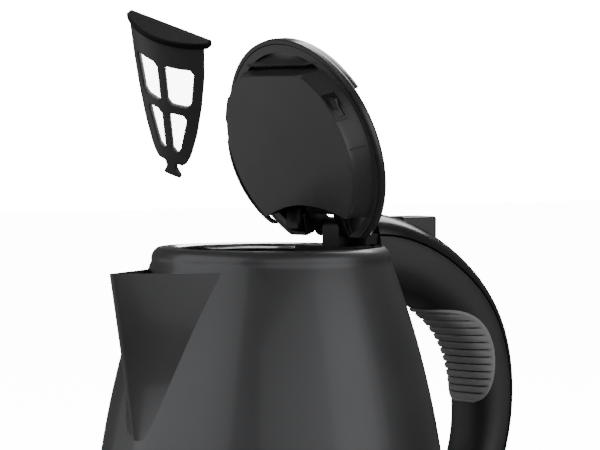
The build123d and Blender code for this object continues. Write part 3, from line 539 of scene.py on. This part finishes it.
LIDSKIN = surface(
    "lid gloss plastic", ((0.028, 0.028, 0.030), (0.034, 0.034, 0.036)), (0.2, 0.3), grain=1200.0,
    bump=0.00001,
)
SATIN = surface(
    "satin lid plastic", ((0.040, 0.040, 0.041), (0.050, 0.050, 0.051)), (0.30, 0.38), grain=2200.0,
    bump=0.00003,
)
r_top = np.linspace(0, LID_RADIUS - 1.0, 40)
r_under = np.linspace(LID_RADIUS - 2.2, 0, 30)
lid_profile = np.concatenate([
    np.stack([r_top, dome(r_top)], -1),
    arc(
        (LID_RADIUS - 1.0, dome(LID_RADIUS - 1.0)), (LID_RADIUS - 0.25, SEAT + 2.9),
        (LID_RADIUS, SEAT + 2.0), 6,
    ),
    [(LID_RADIUS, SEAT + 2.0), (LID_RADIUS, SEAT + 0.5), (LID_RADIUS - 0.4, SEAT), (LID_RADIUS - 2.0, SEAT)],
    np.stack([r_under, dome(r_under, -2.2)], -1),
])
lid_points = opened(trimmed(spun(lid_profile, 220, LID_X)))
piece("lid_dome", *tube(lid_points), [LIDSKIN], "lid", "black_gloss", ["lid_shell"])

r_crown = np.linspace(0, LID_RADIUS - 2.4, 40)
crown_profile = np.concatenate([
    np.stack([r_crown, dome(r_crown, 3.0)], -1),
    arc(
        (LID_RADIUS - 2.4, dome(LID_RADIUS - 2.4, 3.0)),
        (LID_RADIUS - 1.2, dome(LID_RADIUS - 1.2, 2.3)),
        (LID_RADIUS - 0.6, dome(LID_RADIUS - 0.6, 0.8)), 6,
    ),
    [(LID_RADIUS - 0.6, dome(LID_RADIUS - 0.6, 0.2)), (LID_RADIUS - 0.6, dome(LID_RADIUS - 0.6, -0.4))],
    np.stack([r_crown[::-1], dome(r_crown[::-1], -0.4)], -1),
])
crown_points = spun(crown_profile, 220, LID_X)
radius = np.hypot(crown_points[..., 0] - LID_X, crown_points[..., 1])
widest = np.sqrt(np.clip(radius**2 - 26.0**2, 0, None))
behind = crown_points[..., 0] > LID_X - 26.0
crown_points[..., 1] = np.where(behind, np.clip(crown_points[..., 1], -widest, widest), crown_points[..., 1])
crown_points[..., 0] = np.minimum(crown_points[..., 0], LID_X - 26.0)
piece("lid_brow", *tube(opened(crown_points)), [LIDSKIN], "lid", "black_gloss", ["lid_crown"])

# ================================================================ lid plug
# Satin plastic cup under the lid: tapered, cut flat in front and arched behind, with a
# flange that clips into the lid. Levels of one outline, drawn in towards the plate's middle.

FRONT_CHORD, ARCH_FRONT, ARCH_RADIUS = 36.5, 24.5, 68.0
plug_turn = np.linspace(0, 2 * math.pi, 320, endpoint=False)


def plug_ring(radius, z, inset=0.0):
    """The plug's outline at one level: a circle cut by the front chord and the back arch, corners eased."""
    c = np.cos(plug_turn)
    circle = np.full_like(c, radius)
    chord = np.where(c < -0.05, (FRONT_CHORD - inset) / np.maximum(-c, 0.05), 1e3)
    arch_centre, arch_radius = ARCH_FRONT + ARCH_RADIUS, ARCH_RADIUS + inset
    b = arch_centre * c
    disc = arch_radius**2 - arch_centre**2 + b**2
    arch = np.where((disc > 0) & (b > 0), b - np.sqrt(np.clip(disc, 0, None)), 1e3)
    r = (circle**-60.0 + chord**-60.0 + arch**-60.0) ** (-1 / 60.0)
    return np.stack([LID_X + r * c, r * np.sin(plug_turn), z + 0 * c], -1)


plug_low = SEAT - 9.2
levels = [(45.0, SEAT + 1.2, 1.2), (46.0, SEAT + 1.2, 0.0), (46.2, SEAT + 0.9, 0.0)]
levels += [(46.2 - 4.1 * s, SEAT + 0.9 - 9.0 * s, 0.0) for s in np.linspace(0.1, 0.92, 8)]
levels += [(42.15, plug_low + 0.45, 0.0), (42.1, plug_low + 0.2, 0.05), (41.9, plug_low, 0.2)]
levels += [(41.2, plug_low, 0.9), (40.0, plug_low, 2.1), (36.0, plug_low, 6.0)]
plug_rows = [plug_ring(r, z, inset) for r, z, inset in levels]
plug_middle = plug_rows[-1].mean(0)
plug_rows += [plug_middle + (plug_rows[-1] - plug_middle) * s for s in (0.75, 0.5, 0.25, 0.001)]
PLUG_WALL = 1.5
back = np.array([
    plug_ring(r - PLUG_WALL, max(z, plug_low + PLUG_WALL), inset + PLUG_WALL) for r, z, inset in levels[:11]
])[::-1]
back_middle = back[0].mean(0)
plug_back = [back_middle + (back[0] - back_middle) * s for s in (0.001, 0.5)] + list(back)
plug_points = trimmed(np.array(plug_rows + plug_back))
piece("lid_plug", *tube(opened(plug_points), True), [SATIN], "lid", "lid_inner", ["lid_cup"])
latch_x = np.linspace(-26.8, -15.2, 25)[None, :]
latch_z = np.linspace(SEAT - 9.0, SEAT - 3.4, 15)[:, None]
wall_radius = 42.1 + 4.1 * (latch_z - plug_low) / 9.9
hole = (np.abs(latch_x[:, :-1] + 0.24 + 21.0) < 4.2) & (np.abs(latch_z[:-1] + 0.2 - (SEAT - 6.2)) < 1.7)


def latch_frame(side, proud):
    """A window frame on the plug's wall, lifted off it by proud, on the side of the given sign."""
    y = side * np.sqrt((wall_radius + proud) ** 2 - latch_x**2)
    return opened(np.stack([LID_X + latch_x + 0 * y, y, latch_z + 0 * y], -1))


for side_name, side in (("near", -1), ("far", 1)):
    piece(
        "latch_frame_" + side_name, *skins(latch_frame(side, 0.6), latch_frame(side, -0.3), ~hole),
        [GLOSS], "lid", "lid_inner",
    )
mark_z = np.linspace(SEAT - 7.8, SEAT - 1.6, 12)[:, None]
mark_wall = 42.1 + 4.1 * (mark_z - plug_low) / 9.9


def wall_mark(x, proud):
    """A thin upright rib on the plug's near wall at the distances x along the lid, lifted off it by proud."""
    y = -np.sqrt((mark_wall + proud) ** 2 - x**2)
    return opened(np.stack([LID_X + x + 0 * y, y, mark_z + 0 * y], -1))


mark_x = np.linspace(-1.9, -1.4, 3)[None, :]
piece("plug_wall_rib", *skins(wall_mark(mark_x, 0.5), wall_mark(mark_x, -0.3)), [GLOSS], "lid", "lid_inner")
fin_turn = np.radians(np.linspace(37, 100, 60))[None, :]
fin_rise = np.linspace(0, 1, 8)[:, None]
fin_reach = 2.4 * np.sin(math.pi * np.clip((np.degrees(fin_turn) - 37) / 63, 0, 1)) ** 0.6
fin_z = plug_low + 0.3 + 3.5 * fin_rise


def fin(grow):
    """A thin curved wall outside the plug's far back quarter, tapering at its ends."""
    r = 42.3 + fin_reach + grow + 0.45 * (fin_z - plug_low)
    return opened(np.stack([LID_X + r * np.cos(fin_turn), r * np.sin(fin_turn), fin_z + 0 * r], -1))


piece("plug_fin", *skins(fin(0.0), fin(-1.2)), [GLOSS], "lid", "lid_inner")
flange = np.array([(44.6, SEAT + 0.1), (48.2, SEAT + 0.1), (48.2, SEAT + 1.3), (44.6, SEAT + 1.3)])
piece("lid_flange", *tube(opened(trimmed(spun(flange, 220, LID_X))), True), [SATIN], "lid", "lid_inner")

# Hinge covers on the lid: a black block on the far side, and nested ribs on the near arm.
def rounded_block(low, high):
    """A six-sided block between two corners, as a grid of its top and bottom, to be bevelled."""
    x, y = np.meshgrid(np.linspace(low[0], high[0], 3), np.linspace(low[1], high[1], 3), indexing="ij")
    return np.stack([x, y, 0 * x + high[2]], -1), np.stack([x, y, 0 * x + low[2]], -1)


# Hinge plastic: black, made darker and duller than the other black plastics, a painted shade over the hinge
# pieces.
HINGE_BLACK_AND_SHADE = surface(
    "hinge plastic", ((0.004, 0.004, 0.004), (0.006, 0.006, 0.006)), (0.3, 0.42), grain=2000.0,
    bump=0.00003, spec=0.18,
)
piece(
    "hinge_cover", *skins(*rounded_block((29.8, 17.0, 189.5), (35.6, 27.5, 203.0))), [HINGE_BLACK_AND_SHADE],
    "lid", "black_matte", bevel=1.4,
)
rib_line = np.linspace(0, 1, 40)[:, None]
rib_round = np.linspace(0, 2 * math.pi, 10, endpoint=False)[None, :]
for rib_name, reach in (("outer", 15.0), ("middle", 11.5), ("inner", 8.0)):
    rib_x = 35.5 - reach * np.sin(math.pi * rib_line * 0.5) * 0.9
    rib_z = 196.0 + reach * (1 - np.cos(math.pi * rib_line * 0.5)) * 1.15 - 3.0 * (15 - reach) / 15
    rib_y = -12.6 + 0.7 * np.sin(rib_round) + 0 * rib_x
    rib_points = np.stack([rib_x + 0.7 * np.cos(rib_round), rib_y, rib_z + 0.7 * np.cos(rib_round)], -1)
    piece("hinge_rib_" + rib_name, *tube(rib_points, caps=True), [HINGE_BLACK_AND_SHADE], "lid", "black_matte")

# The lid's underside in front of the plug: a smooth D-shaped panel that slopes to a lip
# by the plug's flat front, leaving a slot.
panel_y = np.linspace(-31.0, 31.0, 61)[None, :]
panel_share = np.linspace(0, 1, 12)[:, None]
panel_front = -np.sqrt(48.1**2 - panel_y**2)
panel_back = np.maximum(panel_front + 0.3, -39.3 + 0 * panel_y)
panel_x = LID_X + panel_front + (panel_back - panel_front) * panel_share
panel_z = SEAT + 1.0 + 1.6 * np.sin(math.pi * panel_share) - 4.2 * panel_share**6 * np.clip(
    (26.5 - np.abs(panel_y)) / 6, 0, 1,
)


def panel(z):
    """The panel's grid with its heights moved by z."""
    return opened(np.stack([panel_x, panel_y + 0 * panel_x, panel_z + z + 0 * panel_x], -1))


piece("lid_front_panel", *skins(panel(0.0), panel(1.0)), [SATIN], "lid", "lid_inner")

# ================================================================ strainer
# Lift-out strainer, taken off and held over the mouth: a bent grey frame with four windows
# of fine white mesh, a D-shaped finger lip and a hooked tab. Made flat, bent, then placed.

FRAME_GREY = surface(
    "strainer grey plastic", ((0.036, 0.036, 0.038), (0.046, 0.046, 0.048)), (0.38, 0.5), grain=2400.0,
    bump=0.00003,
)
ACROSS, UP = np.array([0.322, -0.891, -0.318]), np.array([-0.423, -0.436, 0.794])
OUT = np.array([-0.847, -0.122, -0.518])
BEND, FRAME_DEPTH = 34.0, 2.0
UPPER_TOP, UPPER_FOOT, LOWER_TOP, LOWER_FOOT = 0.0, -20.3, -24.5, -46.3
STRAINER_PLACE = np.array([-81.2, -28.0, 263.3])


def bent(a, b, depth):
    """Points of the strainer, bent back at its sides: a across, b up, depth behind its front."""
    turn = a / BEND
    c = -(BEND - (BEND - depth) * np.cos(turn))
    across = (BEND - depth) * np.sin(turn)
    return STRAINER_PLACE + across[..., None] * ACROSS + (b + 0 * a)[..., None] * UP + c[..., None] * OUT


def stretch(edges, count):
    """Each row of edge positions divided evenly into count steps between neighbours."""
    share = np.arange(count) / count
    spans = range(edges.shape[1] - 1)
    parts = [edges[:, i : i + 1] * (1 - share) + edges[:, i + 1 : i + 2] * share for i in spans]
    return np.concatenate(parts + [edges[:, -1:]], 1)


# The finger lip's plastic: the strainer's grey made far darker and duller, a painted shade on the lip.
LIP_PAINTED_SHADE = surface(
    "strainer lip plastic", ((0.006, 0.006, 0.006), (0.009, 0.009, 0.009)), (0.5, 0.6), grain=2400.0,
    bump=0.00003, spec=0.12,
)
row_edges = np.array([[12.0, 5.0, UPPER_TOP, UPPER_FOOT, LOWER_TOP, LOWER_FOOT, -49.5, -52.0]])
rows_b = stretch(row_edges, 10)[0]
side = np.interp(rows_b, (-52, -46, -35, -20, -5, 12), (8.0, 10.6, 14.2, 17.6, 20.0, 21.3)) - np.interp(
    rows_b, (-52, -50.5, -48), (1.6, 0.4, 0.0),
)


def corner_round(top, low):
    """How far a window's sides are drawn in at each row by its rounded corners."""
    inward = 2.0 - np.clip(np.minimum(top - rows_b, rows_b - low), 0, 2.0)
    return 2.0 - np.sqrt(2.0**2 - inward**2)


upper = rows_b > (UPPER_FOOT + LOWER_TOP) / 2
upper_half = np.interp(rows_b, (UPPER_FOOT, UPPER_TOP), (13.0, 16.0))
lower_half = np.interp(rows_b, (LOWER_FOOT, LOWER_TOP), (5.4, 11.1))
half_window = np.where(upper, upper_half, lower_half)
in_window = (rows_b <= UPPER_TOP) & (rows_b >= LOWER_FOOT) & ~((rows_b < UPPER_FOOT) & (rows_b > LOWER_TOP))
eased = np.where(upper, corner_round(UPPER_TOP, UPPER_FOOT), corner_round(LOWER_TOP, LOWER_FOOT)) * in_window
rib = 1.6 + eased
columns_a = stretch(np.stack([-side, eased - half_window, -rib, rib, half_window - eased, side], -1), 6)
keep = np.ones((len(rows_b) - 1, columns_a.shape[1] - 1), bool)
row_part, column_part = np.arange(len(rows_b) - 1) // 10, np.arange(columns_a.shape[1] - 1) // 6
for r in (2, 4):
    for c in (1, 3):
        keep[np.ix_(row_part == r, column_part == c)] = False
b_grid = rows_b[:, None] + 0 * columns_a
piece(
    "strainer_body", *skins(bent(columns_a, b_grid, 0.0), bent(columns_a, b_grid, FRAME_DEPTH), keep),
    [FRAME_GREY], "strainer",
    "lid_inner", ["strainer_frame"], bevel=0.35,
)
lip_a = np.linspace(-21.5, 21.5, 49)[None, :]
lip_depth = np.linspace(0, 1, 7)[:, None]
lip_front = -(BEND - np.sqrt((BEND + 0.8) ** 2 - lip_a**2))
lip_c = lip_front + (np.minimum(-10.0, lip_front - 0.2) - lip_front) * lip_depth


def lip(b):
    """The finger lip's plan at height b: a bent front edge, filled back to a straight chord."""
    return STRAINER_PLACE + (lip_a + 0 * lip_c)[..., None] * ACROSS + b * UP + lip_c[..., None] * OUT


# The finger lip, in the darkened plastic: painted shade.
piece("strainer_lip", *skins(lip(14.5), lip(11.5)), [LIP_PAINTED_SHADE], "strainer", "lid_inner", bevel=1.1)
tab_b = np.linspace(-51, -59.5, 12)
tab_half = np.interp(-tab_b, (51, 55, 58.5, 59.5), (3.2, 2.4, 4.4, 4.4))
tab_a = tab_half[:, None] * np.linspace(-1, 1, 9)[None, :]
tab_grid = tab_b[:, None] + 0 * tab_a
piece(
    "strainer_tab", *skins(bent(tab_a, tab_grid, 0.0), bent(tab_a, tab_grid, FRAME_DEPTH)), [FRAME_GREY],
    "strainer", "lid_inner", bevel=0.3,
)
NYLON = surface(
    "white nylon mesh", ((0.86, 0.86, 0.88), (0.90, 0.90, 0.91)), (0.5, 0.65), grain=2600.0,
    bump=0.0001,
)
NYLON.node_tree.nodes["Principled BSDF"].inputs["Alpha"].default_value = 0.3
mesh_parts = []
for top, bottom, half_top, half_bottom in ((0.4, -20.7, 16.3, 13.2), (-24.1, -46.7, 11.4, 5.7)):
    for way in (1, -1):
        b = np.linspace(top, bottom, 14)
        wide = np.interp(b, (bottom, top), (half_bottom, half_top))
        a = way * (1.5 + (wide[:, None] - 1.5) * np.linspace(0, 1, 12)[None, :])
        grid_b = b[:, None] + 0 * a
        mesh_parts.append(skins(bent(a, grid_b, 0.8), bent(a, grid_b, 1.2)))
offsets = np.cumsum([0] + [len(p) for p, _ in mesh_parts[:-1]])
mesh_points = np.concatenate([p for p, _ in mesh_parts])
mesh_faces = np.concatenate([f + o for (_, f), o in zip(mesh_parts, offsets)])
piece("strainer_net", mesh_points, mesh_faces, [NYLON], "strainer", "mesh", ["strainer_mesh"])

# ================================================================ pieces kept from the frame
# Moulded, turned and pressed pieces whose own form is what is seen, each given its finish.

SILICONE = surface("grey silicone", ((0.45, 0.45, 0.44), (0.5, 0.5, 0.49)), (0.5, 0.6), grain=1500.0)
ALLOY = surface(
    "cast aluminium", ((0.62, 0.62, 0.63), (0.7, 0.7, 0.7)), (0.35, 0.5), metal=1.0, grain=1800.0,
    bump=0.00006,
)
BRASS = surface("brass", ((0.62, 0.46, 0.2), (0.7, 0.54, 0.26)), (0.25, 0.4), metal=1.0)
FOOT = surface(
    "foot rubber", ((0.03, 0.03, 0.03), (0.045, 0.045, 0.045)), (0.75, 0.9), grain=2000.0, bump=0.00006,
)
WIRE = surface("spring steel", ((0.5, 0.5, 0.5), (0.58, 0.58, 0.57)), (0.2, 0.32), metal=1.0)
BRUSHED = surface(
    "brushed steel plate", ((0.55, 0.55, 0.55), (0.63, 0.63, 0.62)), (0.24, 0.36), metal=1.0,
    grain=420.0, stretch=(1, 14, 1), bump=0.00003,
)
for material, names in (
    (MATTE, "base_plate base_socket cord_gland jug_bottom_cover jug_connector control_unit latch_guide"),
    # The hinge bracket and arms take the hinge plastic, darkened as painted shade.
    (HINGE_BLACK_AND_SHADE, "hinge_bracket lid_hinge_arms"),
    (GLOSS, "lid_button power_switch"),
    (SATIN, "latch_bolt_near latch_bolt_far"),
    (FOOT, "base_foot"),
    (SILICONE, "floor_seal steam_tube"),
    (ALLOY, "heat_spreader"),
    (BRASS, "base_contacts bimetal_discs"),
    (WIRE, "base_screws jug_bottom_screws button_spring latch_springs hinge_pin heating_element"),
    (BRUSHED, "floor_plate"),
):
    for name in names.split():
        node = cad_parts[name]
        node.data.materials.clear()
        node.data.materials.append(material)

# ================================================================ stage, lights and camera
# Pale floor and surround, and soft boxes: a tall one on the left, a broad one in front, dimmer
# ones on the right and low behind, and one overhead. The camera stands in front on the spout's
# side, a little above the rim.

PALE = bpy.data.materials.new("pale floor")
PALE.use_nodes = True
PALE.node_tree.nodes["Principled BSDF"].inputs["Base Color"].default_value = (0.93, 0.93, 0.93, 1)
PALE.node_tree.nodes["Principled BSDF"].inputs["Roughness"].default_value = 0.9
PALE.node_tree.nodes["Principled BSDF"].inputs["Specular IOR Level"].default_value = 0.0
PALE.node_tree.nodes["Principled BSDF"].inputs["Emission Color"].default_value = (1, 1, 1, 1)
PALE.node_tree.nodes["Principled BSDF"].inputs["Emission Strength"].default_value = 14.0
floor_mesh = bpy.data.meshes.new("floor")
floor_mesh.from_pydata([(-6, -6, 0), (6, -6, 0), (6, 6, 0), (-6, 6, 0)], [], [(0, 1, 2, 3)])
floor_mesh.materials.append(PALE)
floor = bpy.data.objects.new("floor", floor_mesh)
bpy.context.scene.collection.objects.link(floor)
floor.visible_glossy = floor.visible_diffuse = False

world = bpy.data.worlds.new("studio")
bpy.context.scene.world = world
world.use_nodes = True
nodes, link = world.node_tree.nodes, world.node_tree.links.new
sky, path, mix = nodes["Background"], nodes.new("ShaderNodeLightPath"), nodes.new("ShaderNodeMapRange")
mix.inputs["To Min"].default_value = 0.10
mix.inputs["To Max"].default_value = 18.0
link(path.outputs["Is Camera Ray"], mix.inputs["Value"])
link(mix.outputs["Result"], sky.inputs["Strength"])
sky.inputs["Color"].default_value = (1, 1, 1, 1)


def soft_box(name, place, aim, size, power):
    """An area light at place, in metres, turned to aim."""
    lamp = bpy.data.lights.new(name, "AREA")
    lamp.shape, lamp.size, lamp.size_y, lamp.energy = "RECTANGLE", size[0], size[1], power
    made = bpy.data.objects.new(name, lamp)
    made.location = place
    made.visible_camera = False
    made.rotation_mode = "QUATERNION"
    made.rotation_quaternion = (Vector(aim) - Vector(place)).to_track_quat("-Z", "Y")
    bpy.context.scene.collection.objects.link(made)


soft_box("left box", (-1.28, 0.34, 0.55), (0, 0, 0.2), (2.2, 1.6), 15)
soft_box("front box", (-0.06, -1.85, 0.55), (0, 0, 0.2), (3.4, 1.6), 17)
soft_box("right box", (0.75, -1.45, 0.55), (0, 0, 0.2), (1.3, 1.4), 5)
soft_box("top box", (0.75, 0.35, 1.15), (0.1, 0, 0.15), (0.9, 0.9), 20)
soft_box("low box", (-0.42, 0.72, 0.03), (0, 0, 0.25), (0.6, 0.4), 0.35)

camera = bpy.data.objects.new("camera", bpy.data.cameras.new("camera"))
bpy.context.scene.collection.objects.link(camera)
bpy.context.scene.camera = camera
camera.data.lens, camera.data.sensor_width = 181.1, 36.0
camera.location = (-0.8259, -1.0552, 0.237)
ahead, right, up = Vector((0.6163, 0.7875, 0.0)), Vector((0.7875, -0.6163, 0.0)), Vector((0, 0, 1))
forward = ahead + right * 0.009675281643472498 - up * 0.032471835652750164
camera.rotation_mode = "QUATERNION"
camera.rotation_quaternion = forward.to_track_quat("-Z", "Y")
camera.data.clip_start, camera.data.clip_end = 0.05, 30.0
